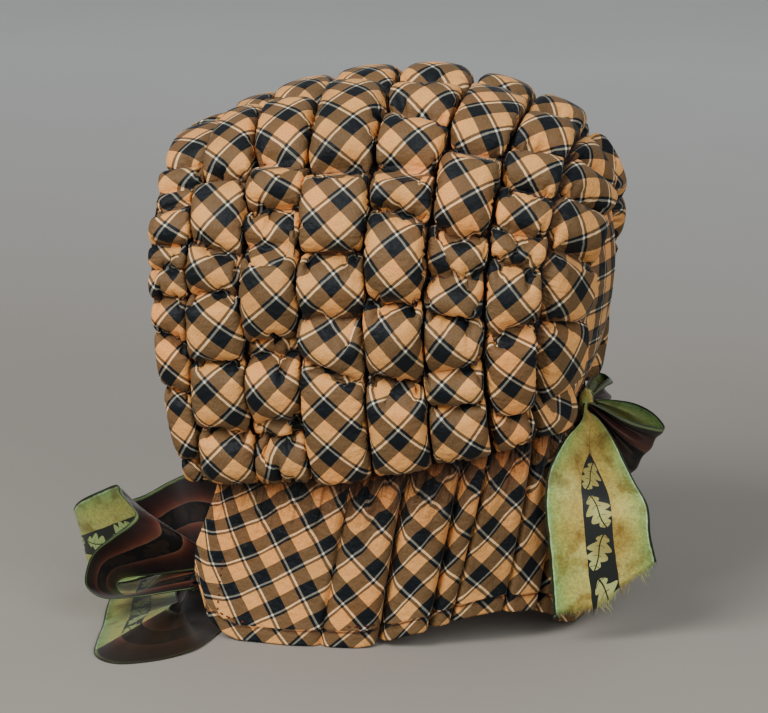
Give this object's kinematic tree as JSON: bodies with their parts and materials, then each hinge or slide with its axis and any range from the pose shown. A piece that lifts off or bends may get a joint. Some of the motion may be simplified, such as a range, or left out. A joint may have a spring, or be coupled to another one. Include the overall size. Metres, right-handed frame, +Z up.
{
  "type": "quilted hood",
  "caption": "Wadded silk hood quilted in rolls of puffs from ear to ear, with a gathered neck curtain, wide leaf-patterned ribbon ties and a ribbon bow at the nape.",
  "frame": {"origin": "middle of the base of the whole part's bounding box, on the surface it stands on", "axes": "+Z up, face opening towards -Y, nape and bow towards +Y, the wearer's left towards +X"},
  "size_m": [0.233, 0.3236, 0.292],
  "materials": {
    "plaid_silk": "peach and black checked silk taffeta with thin white lines, cut on the bias, fine weave with a slight sheen",
    "ribbon": "double-faced silk ribbon, worn olive green with a dark leafy centre band on one face and purple to coral on the other"
  },
  "bodies": {
    "root": {"quilted_crown": "plaid_silk", "back_panel": "plaid_silk", "neck_curtain": "plaid_silk", "tie_left": "ribbon", "tie_right": "ribbon", "bow_tail_left": "ribbon", "bow_tail_right": "ribbon", "bow_loop_left": "ribbon", "bow_loop_right": "ribbon", "bow_knot": "ribbon"}
  },
  "joints": []
}
